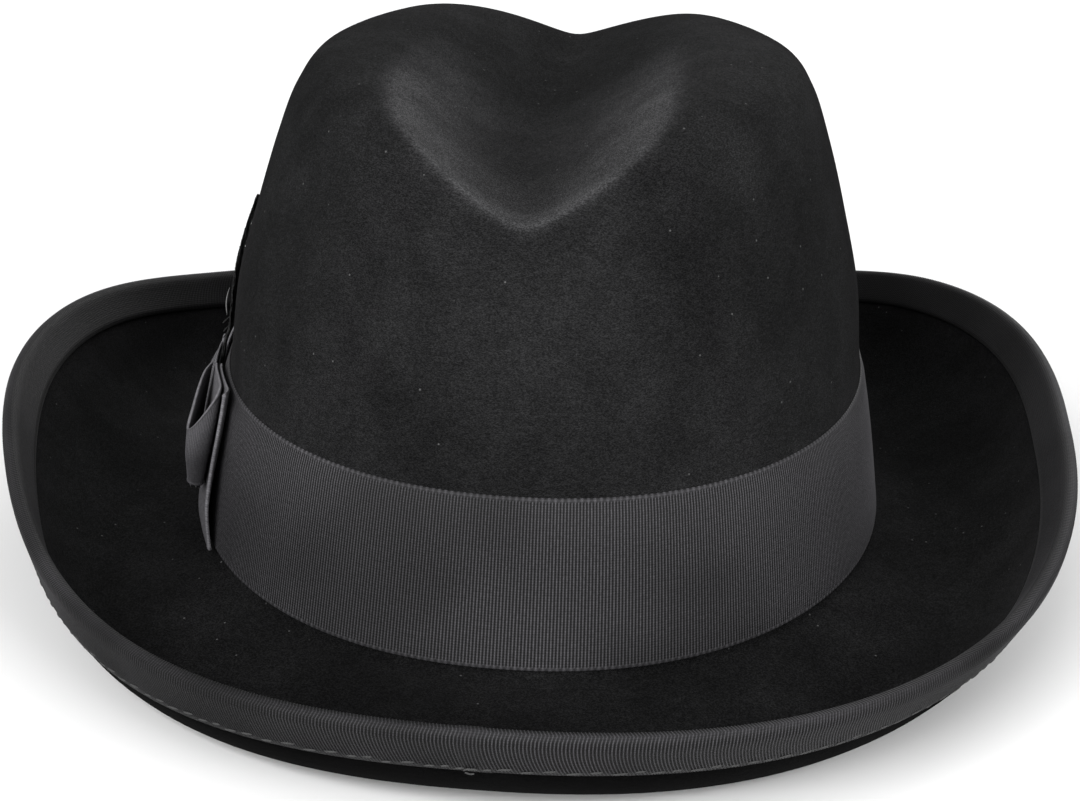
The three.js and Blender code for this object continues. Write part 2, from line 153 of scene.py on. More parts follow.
# Colours: a value, or the values of a light and a dark part, and tints for red, green and blue.
FELT_TINT = (1.0, 1.0, 1.03)
RIBBON_TINT = (1.0, 0.975, 1.05)
CROWN_SHADE = 0.0102
# The brim is painted darker than the crown, and its underside darker still: painted shade.
BRIM_PAINTED_SHADE = 0.0066
UNDERSIDE_PAINTED_SHADE = 0.0015
# The crease's lip is painted paler: a painted highlight.
LIP_PAINTED_HIGHLIGHT = 0.036
LINT_SHADE = 0.09
# For the ribbons, the light part is a painted highlight on the rib crests and the dark part painted shade
# in the grooves.
BAND_SHADES = (0.046, 0.005)
BINDING_SHADES = (0.026, 0.0015)
BINDING_BLOTCH = 0.5
# The bow's ribbon is painted paler than the band's: painted light.
BOW_PAINTED_LIGHT_SHADES = (0.088, 0.05)
THREAD_SHADES = (0.034, 0.008)
BARB_SHADES = (0.012, 0.0025)
QUILL_SHADE = 0.12

# The photograph's frame, and the camera that fits it.
PHOTO_WIDTH = 1080
FOCAL_PIXELS = 2377.3
SENSOR_WIDTH = 36.0
CAMERA_TURN = math.radians(4.5)
CAMERA_RISE = math.radians(19.83)
CAMERA_ROLL = math.radians(2.03)
CAMERA_DISTANCE = 629.2
CAMERA_AIM = (-1.74, 24.82)

# The studio, in metres and watts: each light's name, place, size and power.
FLOOR_HALF = 6.0
FLOOR_SHADE = 0.8
WORLD_STRENGTH = 0.55
LIGHT_AIM = (0.0, 0.0, 0.06)
LIGHTS = (
    ("key", (-1.0, -1.6, 1.15), (1.8, 1.4), 62),
    ("fill", (1.5, -1.3, 0.9), (1.4, 1.2), 36),
    ("back", (0.5, 1.9, 1.1), (1.8, 1.2), 24),
)

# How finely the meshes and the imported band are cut, and the steps of a search by halves.
FELT_COLUMNS = 256
CROWN_RINGS = 120
CROWN_INNER_RINGS = 44
BRIM_RINGS = 66
BRIM_INNER_RINGS = 30
CORNER_RINGS = 5
NOSE_RINGS = 5
RING_CROWDING = 1.4
BAND_COLUMNS_PER_RIB = 4
BINDING_COLUMNS_PER_RIB = 3
BOW_ROWS = 29
KNOT_COLUMNS = 61
KNOT_ROWS = 241
PACKED_COLUMNS = 60
PACKED_BAND_ROWS = 4
HALVINGS = 30


class Table:
    """Rows with named columns, read between its rows on a smooth curve."""

    def __init__(self, columns, rows, is_loop=False):
        self.columns = columns.split()
        self.rows = np.array(rows, float)
        self.is_loop = is_loop

    def read(self, place):
        place = np.asarray(place, float)
        count = len(self.rows)
        index = np.floor(place).astype(int)
        if self.is_loop:
            four = [self.rows[(index + step) % count] for step in (-1, 0, 1, 2)]
        else:
            index = np.clip(index, 0, count - 2)
            before = 2 * self.rows[0] - self.rows[1]
            after = 2 * self.rows[-1] - self.rows[-2]
            padded = np.vstack([before, self.rows, after])
            four = [padded[index + step] for step in (0, 1, 2, 3)]
        a, b, c, d = four
        share = (place - index)[..., None]
        linear = c - a
        square = 2 * a - 5 * b + 4 * c - d
        cube = 3 * b - a - 3 * c + d
        values = 0.5 * (2 * b + share * (linear + share * (square + share * cube)))
        return dict(zip(self.columns, np.moveaxis(values, -1, 0)))


# The crown from its foot up, the crease from the back, and the brim round from the back by way of
# the right side, in degrees and in shares of the hat's sizes. Most values were fitted to the photo.
CROWN_ROWS = Table(
    "rise side back front square",
    [
        (0.0, 1.0, 1.0, 1.0, 2.2),
        (0.16, 0.968, 0.951, 0.963, 2.2),
        (0.33, 0.928, 0.91, 0.922, 2.2),
        (0.5, 0.904, 0.87, 0.882, 2.2),
        (0.66, 0.851, 0.829, 0.841, 2.2),
        (0.8, 0.795, 0.784, 0.796, 2.2),
        (0.905, 0.74, 0.734, 0.746, 2.2),
        (0.965, 0.666, 0.656, 0.668, 2.2),
        (0.995, 0.462, 0.483, 0.495, 2.15),
        (1.004, 0.25, 0.261, 0.267, 2.05),
        (1.007, 0.0, 0.0, 0.0, 2.0),
    ],
)
CREASE_ROWS = Table(
    "floor shift soft",
    [
        (0.786, 0.018, 0.026),
        (0.813, -0.017, 0.053),
        (0.832, -0.018, 0.086),
        (0.867, -0.01, 0.104),
        (0.912, 0.0, 0.107),
    ],
)
CREASE_HALF_WIDTH = 40.0
CREASE_RISE = 26.8
CREASE_POWER = 1.17
CREASE_ROUND = 0.06
BRIM_ROWS = Table(
    "width set curl flat lip",
    [
        (1.053, 0.0, 64.7, 0.602, 0.155),
        (0.927, -11.4, 60.1, 0.399, 0.176),
        (0.854, -13.7, 56.6, 0.095, 0.275),
        (1.016, -15.8, 57.5, 0.099, 0.238),
        (1.026, -7.5, 55.3, 0.699, 0.169),
        (1.02, -10.8, 71.0, 0.5, 0.235),
        (0.917, -10.1, 51.4, 0.05, 0.323),
        (0.867, -10.7, 74.0, 0.469, 0.141),
    ],
    is_loop=True,
)

# A loop from the knot and back to it, the bow from its lower edge up, and the feather from its quill.
LOOP_ROWS = Table(
    "along layer puff droop",
    [
        (0.0, 0, 0.0, 0.0),
        (0.35, 0, 0.0, 0.0),
        (0.7, 0, 0.0, 0.0),
        (0.95, 0, 0.08, 0.1),
        (1.0, 0.5, 0.55, 0.6),
        (0.93, 1, 1.0, 1.0),
        (0.7, 1, 0.76, 0.56),
        (0.35, 1, 0.38, 0.14),
        (0.0, 1, 0.0, 0.0),
    ],
)
DROOP_POWER = 1.5
GATHER_RUN = 0.45
LOOP_HEIGHT_ROWS = Table(
    "length puff tail flare",
    [
        (0.9, 0.45, 1.0, 0.3),
        (0.95, 0.65, 0.92, 1.0),
        (1.0, 0.85, 0.83, 0.9),
        (1.0, 0.95, 0.785, 0.8),
        (0.95, 1.0, 0.735, 0.7),
    ],
)
FLARE_POWER = 1.5
FEATHER_ROWS = Table("width", [(0.16,), (0.3,), (0.85,), (1.0,), (0.92,), (0.7,), (0.12,)])


def mix(a, b, share):
    return a + (b - a) * share


def smooth_step(value):
    value = np.clip(value, 0, 1)
    return value * value * (3 - 2 * value)


def unit(vectors):
    """Vectors scaled to a length of one."""
    return vectors / np.maximum(np.linalg.norm(vectors, axis=-1, keepdims=True), 1e-12)


def oval(half_width, half_back, half_front, square, angle):
    """A point of an oval at an angle from the back towards the right side."""
    s, c = np.sin(angle), np.cos(angle)
    reach = (np.abs(s) ** square + np.abs(c) ** square) ** (-1 / square)
    return half_width * reach * s, -np.where(c > 0, half_back, half_front) * reach * c


def foot_height(angle, y):
    """How high the foot of the crown lies: it rises at both sides and a little to the front."""
    return SIDE_LIFT * np.sin(angle) ** 2 + BACK_DROP * y / (HEAD_LENGTH / 2)


def crown_surface(row, angle):
    """A point on the outside of the crown, and how deep it lies in the crease."""
    row, angle = np.broadcast_arrays(np.asarray(row, float), np.asarray(angle, float))
    section = CROWN_ROWS.read(row)
    half_length = HEAD_LENGTH / 2
    x, y = oval(
        np.maximum(section["side"], 0) * HEAD_WIDTH / 2,
        np.maximum(section["back"], 0) * half_length,
        np.maximum(section["front"], 0) * half_length,
        section["square"],
        angle,
    )
    dome = section["rise"] * CROWN_HEIGHT
    last = len(CREASE_ROWS.rows) - 1
    crease = CREASE_ROWS.read(np.clip((y / half_length + 1) * last / 2, 0, last))
    across = (x - crease["shift"] * HEAD_WIDTH) / CREASE_HALF_WIDTH
    rounded = np.hypot(across, CREASE_ROUND) - CREASE_ROUND
    gutter = crease["floor"] * CROWN_HEIGHT + CREASE_RISE * rounded**CREASE_POWER
    soft = crease["soft"] * CROWN_HEIGHT
    overlap = np.maximum(soft - np.abs(dome - gutter), 0)
    z = np.minimum(dome, gutter) - overlap * overlap / soft / 4
    rise = np.clip(section["rise"], 0, 1)
    foot = foot_height(angle, y) * (1 - rise) + BACK_DROP * y * rise / half_length
    return np.stack([x, y, z + foot], -1), dome - gutter


def crown_point(row, angle):
    """A point on the outside of the crown: row counts its sections up from its foot."""
    return crown_surface(row, angle)[0]


def crown_normal(row, angle):
    """The way out from the crown's wall."""
    step = 1e-3
    up = crown_point(row + step, angle) - crown_point(row - step, angle)
    around = crown_point(row, angle + step) - crown_point(row, angle - step)
    return unit(np.cross(around, up))


def row_at_height(height):
    """The crown's row at a height above its foot."""
    rows = np.linspace(0, 5, 2001)
    return np.interp(height, CROWN_ROWS.read(rows)["rise"] * CROWN_HEIGHT, rows)


def brim_sizes(angle):
    """The run of a brim section: its whole width, its flat start and its curl."""
    row = BRIM_ROWS.read(angle / (2 * math.pi) * len(BRIM_ROWS.rows))
    width = row["width"] * BRIM_WIDTH
    return row, width, row["flat"] * width, (1 - row["flat"] - row["lip"]) * width


def brim_point(run, offset, angle):
    """A point of the brim at a run along its section and an offset above its upper face."""
    row, width, flat, curl = brim_sizes(angle)
    half_width, half_length = HEAD_WIDTH / 2, HEAD_LENGTH / 2
    square = CROWN_ROWS.rows[0][CROWN_ROWS.columns.index("square")]
    x, y = oval(half_width, half_length, half_length, square, angle)
    nx = np.sign(x) * np.abs(x / half_width) ** (square - 1) / half_width
    ny = np.sign(y) * np.abs(y / half_length) ** (square - 1) / half_length
    length = np.hypot(nx, ny)
    start, end = np.radians(row["set"]), np.radians(row["curl"])
    radius = curl / (end - start)
    on_flat = np.minimum(run, flat)
    on_curl = np.clip(run - flat, 0, curl)
    on_lip = np.maximum(run - flat - curl, 0)
    slope = start + on_curl / radius
    out = on_flat * np.cos(start) + radius * (np.sin(slope) - np.sin(start)) + on_lip * np.cos(end)
    up = on_flat * np.sin(start) + radius * (np.cos(start) - np.cos(slope)) + on_lip * np.sin(end)
    reach = out - offset * np.sin(slope)
    x = x + nx / length * reach
    y = y + ny / length * reach
    return np.stack([x, y, up + offset * np.cos(slope) + foot_height(angle, y)], -1)


def band_point(height, angle, out):
    """A point off the crown's wall, at a height above the band's lower edge."""
    row = row_at_height(BAND_FOOT + height)
    return crown_point(row, angle) + crown_normal(row, angle) * np.asarray(out)[..., None]


def frame_shift():
    """From the hat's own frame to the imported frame, found from the band's lowest corner."""
    angles = np.arange(PACKED_COLUMNS) * 2 * math.pi / PACKED_COLUMNS
    heights = np.linspace(0, BAND_WIDTH, PACKED_BAND_ROWS)[:, None]
    shape = (PACKED_BAND_ROWS, PACKED_COLUMNS)
    outer = band_point(heights, angles, np.full(shape, GAP + RIBBON_THICKNESS)).reshape(-1, 3)
    inner = band_point(heights, angles, np.full(shape, GAP)).reshape(-1, 3)
    low = np.minimum(outer.min(0), inner.min(0))
    return np.array(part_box("hat_band")[0]) / MM - low


SHIFT = frame_shift()


def add_mesh(name, points, faces, material, layers=None):
    """Makes an object from points in the hat's own frame, and from quads or faces of any size."""
    mesh = bpy.data.meshes.new(name)
    places = ((points + SHIFT) * MM).astype(np.float32)
    mesh.vertices.add(len(places))
    mesh.vertices.foreach_set("co", places.ravel())
    if isinstance(faces, list):
        counts = np.array([len(face) for face in faces])
        corners = np.concatenate([np.asarray(face) for face in faces])
    else:
        counts = np.full(len(faces), faces.shape[1])
        corners = faces.ravel()
    starts = np.concatenate([[0], np.cumsum(counts)[:-1]])
    mesh.loops.add(len(corners))
    mesh.loops.foreach_set("vertex_index", corners.astype(np.int32))
    mesh.polygons.add(len(counts))
    mesh.polygons.foreach_set("loop_start", starts.astype(np.int32))
    mesh.polygons.foreach_set("use_smooth", np.full(len(counts), True))
    mesh.update(calc_edges=True)
    mesh.validate()
    for key, values in (layers or {}).items():
        layer = mesh.attributes.new(key, "FLOAT", "POINT")
        layer.data.foreach_set("value", np.asarray(values, np.float32).ravel())
    piece = bpy.data.objects.new(name, mesh)
    bpy.context.scene.collection.objects.link(piece)
    mesh.materials.append(material)
    return piece


def grid_faces(rows, columns, rows_close=False):
    """Quads between the rows of a grid of points whose columns close on themselves."""
    i = np.arange(rows if rows_close else rows - 1)[:, None]
    j = np.arange(columns)[None, :]
    i_next, j_next = (i + 1) % rows, (j + 1) % columns
    corners = [i * columns + j, i * columns + j_next, i_next * columns + j_next, i_next * columns + j]
    return np.stack(corners, -1).reshape(-1, 4)


def face_out(points, faces):
    """Turns all the faces of a closed mesh outward."""
    a, b, c = (points[[face[k] for face in faces]] for k in (0, 1, 2))
    d = points[[face[-1] for face in faces]]
    volume = np.einsum("ij,ij->i", a, np.cross(b, c)) + np.einsum("ij,ij->i", a, np.cross(c, d))
    if volume.sum() > 0:
        return faces
    if isinstance(faces, list):
        return [list(face)[::-1] for face in faces]
    return faces[:, ::-1]


def place(piece, slot, *nodes):
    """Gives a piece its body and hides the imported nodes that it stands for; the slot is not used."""
    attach(piece, "root")
    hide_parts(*nodes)


class Nodes:
    """A material's node tree, with short ways to add and join its nodes."""

    def __init__(self, name):
        self.material = bpy.data.materials.new(name)
        self.material.use_nodes = True
        self.tree = self.material.node_tree
        self.shader = self.tree.nodes["Principled BSDF"]

    def add(self, kind, settings=None, **inputs):
        node = self.tree.nodes.new(kind)
        for key, value in (settings or {}).items():
            setattr(node, key, value)
        for key, value in inputs.items():
            self.put(node.inputs[key.replace("_", " ")], value)
        return node

    def put(self, socket, value):
        if isinstance(value, bpy.types.NodeSocket):
            self.tree.links.new(value, socket)
        else:
            socket.default_value = value

    def surface(self, **inputs):
        for key, value in inputs.items():
            self.put(self.shader.inputs[key.replace("_", " ")], value)
        return self.material

    def math(self, operation, first, second=0.0):
        node = self.add("ShaderNodeMath", {"operation": operation})
        self.put(node.inputs[0], first)
        self.put(node.inputs[1], second)
        return node.outputs[0]

    def noise(self, scale, detail=2.0, vector=None, roughness=0.5):
        node = self.add("ShaderNodeTexNoise", Scale=scale, Detail=detail, Roughness=roughness)
        if vector is not None:
            self.put(node.inputs["Vector"], vector)
        return node.outputs["Fac"]

    def ramp(self, value, low, high, from_value=0.0, to_value=1.0):
        node = self.add("ShaderNodeMapRange", {"interpolation_type": "SMOOTHSTEP"})
        self.put(node.inputs["Value"], value)
        limits = {"From Min": low, "From Max": high, "To Min": from_value, "To Max": to_value}
        for key, number in limits.items():
            node.inputs[key].default_value = number
        return node.outputs["Result"]

    def blend(self, share, first, second):
        node = self.add("ShaderNodeMixRGB")
        for socket, value in zip(node.inputs, (share, first, second)):
            self.put(socket, value)
        return node.outputs[0]

    def product(self, *values):
        result = values[0]
        for value in values[1:]:
            result = self.math("MULTIPLY", result, value)
        return result

    def scaled(self, colour, factor):
        node = self.add("ShaderNodeVectorMath", {"operation": "SCALE"}, Scale=factor)
        self.put(node.inputs[0], colour)
        return node.outputs[0]

    def attribute(self, name):
        return self.add("ShaderNodeAttribute", {"attribute_name": name}).outputs["Fac"]

    def place(self):
        return self.add("ShaderNodeTexCoord").outputs["Object"]

    def bump(self, height, strength, distance, normal=None):
        node = self.add("ShaderNodeBump", Strength=strength, Distance=distance, Height=height)
        if normal is not None:
            self.put(node.inputs["Normal"], normal)
        return node.outputs["Normal"]


def shade_of(value, tint=(1.0, 1.0, 1.0)):
    """A dark colour from one value and a tint."""
    return tuple(value * part for part in tint) + (1.0,)


def felt_material():
    """Black fur felt: brushed nap, cloudy marks and lint, with painted shade on the brim and its underside
    and a painted highlight on the crease's lip.
    """
    nodes = Nodes("felt")
    place_at = nodes.place()
    brushed = nodes.add("ShaderNodeMapping", Vector=place_at)
    brushed.inputs["Scale"].default_value = (1.0, 1.0, 2.3)
    cloud = nodes.noise(19.0, 3.0, place_at)
    nap = nodes.noise(2100.0, 3.0, brushed.outputs[0], 0.75)
    tufts = nodes.noise(560.0, 2.0, brushed.outputs[0], 0.6)
    pressed = nodes.noise(95.0, 3.0, place_at)
    shade = shade_of(CROWN_SHADE, FELT_TINT)
    # Painted shade on the brim and its underside, and a painted highlight on the crease's lip.
    for key, value in (("brim", BRIM_PAINTED_SHADE), ("under", UNDERSIDE_PAINTED_SHADE), ("lip", LIP_PAINTED_HIGHLIGHT)):
        shade = nodes.blend(nodes.attribute(key), shade, shade_of(value, FELT_TINT))
    factor = nodes.product(
        nodes.ramp(cloud, 0.3, 0.7, 0.76, 1.28),
        nodes.ramp(pressed, 0.3, 0.7, 0.88, 1.12),
        nodes.ramp(tufts, 0.3, 0.7, 0.85, 1.15),
        nodes.ramp(nap, 0.4, 0.64, 0.55, 1.6),
    )
    specks = nodes.add("ShaderNodeTexVoronoi", Scale=300.0, Randomness=1.0, Vector=place_at)
    near = nodes.ramp(specks.outputs["Distance"], 0.04, 0.1, 1.0, 0.0)
    chosen = nodes.ramp(specks.outputs["Color"], 0.7, 0.72)
    lint = nodes.product(near, chosen, 0.7)
    colour = nodes.blend(lint, nodes.scaled(shade, factor), shade_of(LINT_SHADE))
    return nodes.surface(
        Base_Color=colour,
        Roughness=nodes.ramp(tufts, 0.3, 0.7, 0.86, 1.0),
        Specular_IOR_Level=0.0,
        Sheen_Weight=0.012,
        Sheen_Roughness=0.45,
        Normal=nodes.bump(tufts, 0.22, 0.0003, nodes.bump(nap, 0.5, 0.0002)),
    )


def ribbon_material(name, crest, groove, blotch=0.25):
    """Grosgrain: painted highlights on the rib crests and edges, painted shade in the grooves, and fine
    threads that cross them.
    """
    nodes = Nodes(name)
    rib = nodes.attribute("rib")
    along, across = nodes.attribute("along"), nodes.attribute("across")
    vector = nodes.add("ShaderNodeCombineXYZ", X=along, Y=across).outputs[0]
    threads = nodes.add("ShaderNodeTexWave", {"bands_direction": "Y"}, Vector=vector, Scale=0.55)
    for key, number in (("Distortion", 1.2), ("Detail", 2.0), ("Detail Scale", 2.0)):
        threads.inputs[key].default_value = number
    uneven = nodes.noise(1.1, 2.0, vector)
    cloud = nodes.noise(17.0, 3.0, nodes.place())
    fuzz = nodes.noise(4200.0, 2.0, nodes.place(), 0.7)
    # Painted highlight on the rib crests and painted shade in the grooves.
    shown = nodes.ramp(rib, 0.35, 0.9)
    shade = nodes.blend(shown, shade_of(groove, RIBBON_TINT), shade_of(crest, RIBBON_TINT))
    # The edge mask paints a paler highlight onto the ribbon's edges.
    shade = nodes.blend(nodes.attribute("edge"), shade, shade_of(crest * 1.25, RIBBON_TINT))
    factor = nodes.product(
        nodes.ramp(cloud, 0.34, 0.66, 1 - blotch, 1 + blotch),
        nodes.ramp(uneven, 0.25, 0.75, 0.78, 1.22),
        nodes.ramp(threads.outputs["Fac"], 0.0, 1.0, 0.85, 1.12),
        nodes.ramp(fuzz, 0.3, 0.7, 0.85, 1.15),
    )
    height = nodes.math("ADD", threads.outputs["Fac"], nodes.math("MULTIPLY", uneven, 0.7))
    return nodes.surface(
        Base_Color=nodes.scaled(shade, factor),
        Roughness=nodes.ramp(uneven, 0.25, 0.75, 0.55, 0.72),
        Specular_IOR_Level=0.12,
        Sheen_Weight=0.015,
        Sheen_Roughness=0.4,
        Normal=nodes.bump(height, 0.35, 0.00008),
    )


def thread_material():
    """Sewing thread, about as pale as the ribs of the binding, with its twist."""
    nodes = Nodes("thread")
    twist = nodes.noise(2600.0, 2.0, nodes.place())
    pale, dark = THREAD_SHADES
    colour = nodes.blend(twist, shade_of(dark), shade_of(pale))
    return nodes.surface(Base_Color=colour, Roughness=0.65, Normal=nodes.bump(twist, 0.4, 0.00006))


def feather_material():
    """Black feather: streaks along its barbs and a pale bare quill."""
    nodes = Nodes("feather")
    streaks = nodes.noise(1500.0, 3.0, nodes.place())
    pale, dark = BARB_SHADES
    barbs = nodes.blend(streaks, shade_of(dark, FELT_TINT), shade_of(pale, FELT_TINT))
    colour = nodes.blend(nodes.attribute("quill"), barbs, shade_of(QUILL_SHADE))
    return nodes.surface(
        Base_Color=colour,
        Roughness=0.55,
        Specular_IOR_Level=0.25,
        Sheen_Weight=0.05,
        Normal=nodes.bump(streaks, 0.3, 0.0001),
    )


def grown(distance, start_and_run):
    """From 0 to 1 over a run, from a start on."""
    start, run = start_and_run
    return smooth_step((distance - start) / run)


def felt_unevenness(points):
    """A slow rise and fall of hand-blocked felt, the same on every run; it ends at the crown's pole."""
    x, y, z = np.moveaxis(points, -1, 0) / 10
    slow = np.sin(1.1 * x + 0.7 * z + 0.4) * np.sin(0.8 * y - 0.5 * z + 1.3)
    quick = 0.4 * np.sin(1.7 * y + 1.3 * z) * np.sin(1.5 * x - 0.9 * y + 2.0)
    return FELT_WAVER * (slow + quick) * smooth_step(np.hypot(x, y) / 3 - 0.2)


def make_felt():
    """Crown and brim, outer and inner faces, joined at the edge of the brim."""
    angles = np.arange(FELT_COLUMNS) * 2 * math.pi / FELT_COLUMNS
    top = len(CROWN_ROWS.rows) - 1
    foot = row_at_height(BREAK_RADIUS)
    width = brim_sizes(angles)[1]

    def crown_rows(count):
        """Rows from the pole down, closest together at the pole."""
        return mix(top, foot, np.linspace(0, 1, count + 1)[1:, None] ** RING_CROWDING)

    def brim_runs(count):
        return mix(BREAK_RADIUS, width, np.linspace(0, 1, count)[:, None])

    def corner(count):
        """The small round between the crown and the brim."""
        above = crown_point(foot, angles)
        beyond = brim_point(BREAK_RADIUS, 0, angles)
        middle = brim_point(0.0, 0, angles)
        shares = np.linspace(0, 1, count + 2)[1:-1, None, None]
        return (1 - shares) ** 2 * above + 2 * shares * (1 - shares) * middle + shares**2 * beyond

    def skin(crown_count, brim_count, corner_count, offset):
        rows = crown_rows(crown_count)
        rings, normals = crown_point(rows, angles), crown_normal(rows, angles)
        runs = brim_runs(brim_count)
        brim = brim_point(runs, offset, angles)
        if offset:
            rings = rings + normals * offset
            return np.concatenate([rings, brim])
        calm = grown(rings[..., 2] - BAND_WIDTH, CROWN_CALM)
        rings = rings + normals * (calm * felt_unevenness(rings))[..., None]
        calm = grown(runs, BRIM_CALM) * grown(width - BINDING_WIDTH - runs, RIM_CALM)
        uneven = calm * felt_unevenness(brim)
        return np.concatenate([rings, corner(corner_count), brim_point(runs, uneven, angles)])

    outer = skin(CROWN_RINGS, BRIM_RINGS, CORNER_RINGS, 0)
    inner = skin(CROWN_INNER_RINGS, BRIM_INNER_RINGS, 0, -FELT_WALL)
    inner[..., 2] = np.maximum(inner[..., 2], -SHIFT[2])
    turns = np.radians(np.linspace(90, -90, NOSE_RINGS + 2))[1:-1, None]
    nose_run = width + np.cos(turns) * FELT_WALL / 2
    nose_offset = (np.sin(turns) - 1) * FELT_WALL / 2
    nose = brim_point(nose_run, nose_offset, angles)
    rings = np.concatenate([outer, nose, inner[::-1]])
    pole = crown_point(top, 0.0)
    points = np.vstack([pole, rings.reshape(-1, 3), pole - (0, 0, FELT_WALL)])
    quads = grid_faces(len(rings), FELT_COLUMNS) + 1
    first = np.arange(FELT_COLUMNS)
    after = (first + 1) % FELT_COLUMNS
    last = 1 + (len(rings) - 1) * FELT_COLUMNS
    end = len(points) - 1
    caps = [(0, 1 + b, 1 + a) for a, b in zip(first, after)]
    caps += [(end, last + a, last + b) for a, b in zip(first, after)]
    faces = face_out(points, [list(face) for face in quads[:, ::-1]] + [list(face) for face in caps])
    # Painted shade on the brim, its edge and its underside.
    painted_brim_shade_share = np.zeros(len(rings))
    painted_brim_shade_share[CROWN_RINGS : len(outer) + len(nose) + BRIM_INNER_RINGS] = 1
    # A painted highlight along the crease's lip, fading towards the front.
    depth = crown_surface(crown_rows(CROWN_RINGS), angles)[1] - LIP_PLACE
    lip = np.zeros((len(rings), FELT_COLUMNS))
    lip[:CROWN_RINGS] = np.exp(-((depth / np.where(depth > 0, LIP_INSIDE, LIP_OUTSIDE)) ** 2))
    lip = lip * smooth_step((LIP_END - rings[..., 1]) / LIP_FADE)
    # The edge and the underside get the stronger painted shade.
    under = painted_brim_shade_share * (np.arange(len(rings)) >= len(outer))
    by_point = {
        "brim": np.repeat(painted_brim_shade_share, FELT_COLUMNS),
        "under": np.repeat(under, FELT_COLUMNS),
        "lip": lip.ravel(),
    }
    layers = {key: np.concatenate([[0], values, [0]]) for key, values in by_point.items()}
    piece = add_mesh("felt_hat", points, faces, felt_material(), layers)
    place(piece, "felt", "felt_body")


def even_angles(curve, count):
    """Angles that divide a closed curve round the hat into equal lengths."""
    dense = np.linspace(0, 2 * math.pi, 4001)
    points = curve(dense)
    steps = np.linalg.norm(np.diff(points, axis=0), axis=1)
    run = np.concatenate([[0], np.cumsum(steps)])
    angles = np.interp(np.arange(count) / count * run[-1], run, dense)
    return angles, run[-1]


def rib_wave(columns, per_rib):
    """1 on the crest of a rib and 0 in its groove, for each column of points."""
    return 0.5 + 0.5 * np.cos(2 * math.pi * np.arange(columns) / per_rib)


def selvage_profile(across, width):
    """How much of the ribs shows at a place across a ribbon, and how thick its edge roll is."""
    edge = np.minimum(across, width - across)
    ribs = smooth_step((edge - SELVAGE * 0.55) / (SELVAGE * 0.5))
    roll = np.where(edge < SELVAGE, np.sin(np.clip(edge / SELVAGE, 0, 1) * math.pi), 0)
    return ribs, roll


def make_band():
    """The ribbon round the crown, with its ribs and beaded edges, drawn in at its upper edge."""
    per_rib = BAND_COLUMNS_PER_RIB

    def middle(angle):
        return band_point(BAND_WIDTH / 2, angle, np.zeros_like(angle))

    length = even_angles(middle, 8)[1]
    count = int(length / RIB_PITCH) * per_rib
    angles, _ = even_angles(middle, count)
    edge = [0.0, 0.12, 0.4, 0.75, 1.1, 1.5]
    face = [6, 13, 20, 27, 34]
    across = np.array(edge + face + [BAND_WIDTH - step for step in edge[::-1]])
    ribs, roll = selvage_profile(across, BAND_WIDTH)
    wave = rib_wave(count, per_rib)
    bead = rib_wave(count, per_rib * 2)
    thick = RIBBON_THICKNESS * np.array([0.25, 0.7] + [1.0] * (len(across) - 4) + [0.7, 0.25])
    out = GAP + thick[:, None] - RIB_HEIGHT + ribs[:, None] * RIB_HEIGHT * wave
    out = out + (roll * BAND_BEAD)[:, None] * (0.5 + 0.5 * bead)
    drawn_in = smooth_step((across - BAND_WIDTH + EDGE_RUN) / EDGE_RUN)
    out = out * mix(1.0, EDGE_SHARE, drawn_in)[:, None]
    outer = band_point(across[:, None], angles, out)
    inner = band_point(np.array([BAND_WIDTH, 0.0])[:, None], angles, np.full((2, count), GAP / 3))
    rings = np.concatenate([outer, inner])
    rib_value = np.concatenate([mix(0.45 * bead + 0.3, wave, ribs[:, None]), np.zeros((2, count))])
    all_across = np.concatenate([across, [BAND_WIDTH, 0.0]])
    layers = {
        "rib": rib_value,
        "along": np.broadcast_to(np.arange(count) * length / count, rib_value.shape),
        "across": np.repeat(all_across, count),
        # The beaded edges get a painted highlight.
        "edge": np.repeat(np.concatenate([roll * 0.35, [0, 0]]), count),
    }
    points = rings.reshape(-1, 3)
    faces = face_out(points, grid_faces(len(rings), count, rows_close=True))
    material = ribbon_material("band_ribbon", *BAND_SHADES)
    piece = add_mesh("ribbon_band", points, faces, material, layers)
    place(piece, "band_ribbon", "hat_band")


def binding_profile(offset, face_steps, nose_steps):
    """Runs and offsets of the binding's section, from its upper edge round to its lower edge."""
    middle = -FELT_WALL / 2
    radius = FELT_WALL / 2 + offset
    faces = np.linspace(-BINDING_WIDTH, 0, face_steps + 1)[:-1]
    turns = np.radians(np.linspace(90, -90, nose_steps + 1))
    runs = np.concatenate([faces, radius * np.cos(turns), faces[::-1]])
    up = np.full(face_steps, middle + radius)
    down = np.full(face_steps, middle - radius)
    return runs, np.concatenate([up, middle + radius * np.sin(turns), down])


def rim(angle):
    """The upper edge of the brim's own felt."""
    return brim_point(brim_sizes(angle)[1], 0, angle)


def rib_lean(steps):
    """How far a rib of the binding has bent along the rim, at steps from the middle of its fold."""
    beyond = np.abs(steps) - BULGE_PLACE
    outside = LEAN_OUTSIDE * (beyond / LEAN_RUN) ** 2
    return np.where(beyond > 0, outside, LEAN_FOLD * (beyond / BULGE_PLACE) ** 2)


